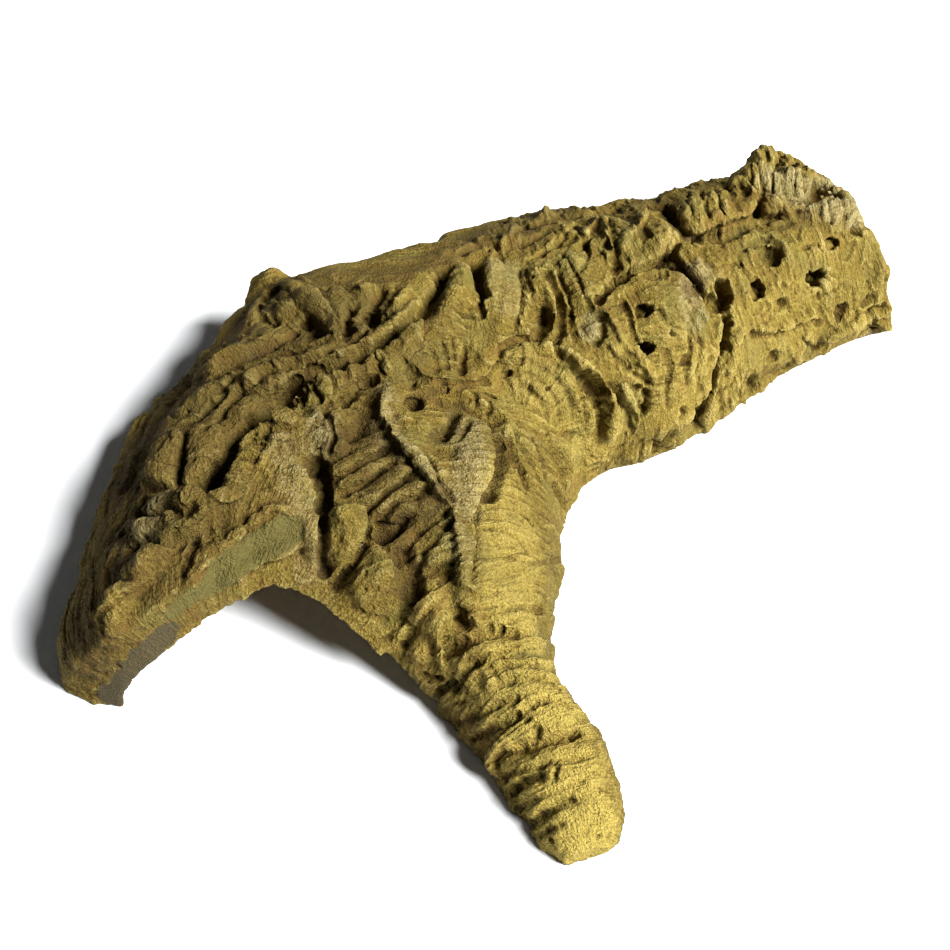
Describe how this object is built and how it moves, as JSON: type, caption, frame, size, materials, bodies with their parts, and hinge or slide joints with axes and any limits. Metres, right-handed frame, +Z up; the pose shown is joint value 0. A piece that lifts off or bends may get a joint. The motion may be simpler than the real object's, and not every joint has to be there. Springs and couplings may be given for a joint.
{
  "type": "cork bark cave",
  "caption": "Forked half tube of rough cork bark, lying hollow side down as a cave with a sawn arch mouth and a tapering branch stub.",
  "frame": {"origin": "centre of the bounding box in plan, on the floor plane that the bark rests on", "axes": "+X along the trunk towards its narrow broken end, +Y away from the branch stub, +Z up"},
  "size_m": [0.4747, 0.3537, 0.0873],
  "materials": {
    "bark": "rough, dull, corky"
  },
  "bodies": {
    "root": {"trunk_bark": "bark", "branch_bark": "bark"}
  },
  "joints": []
}
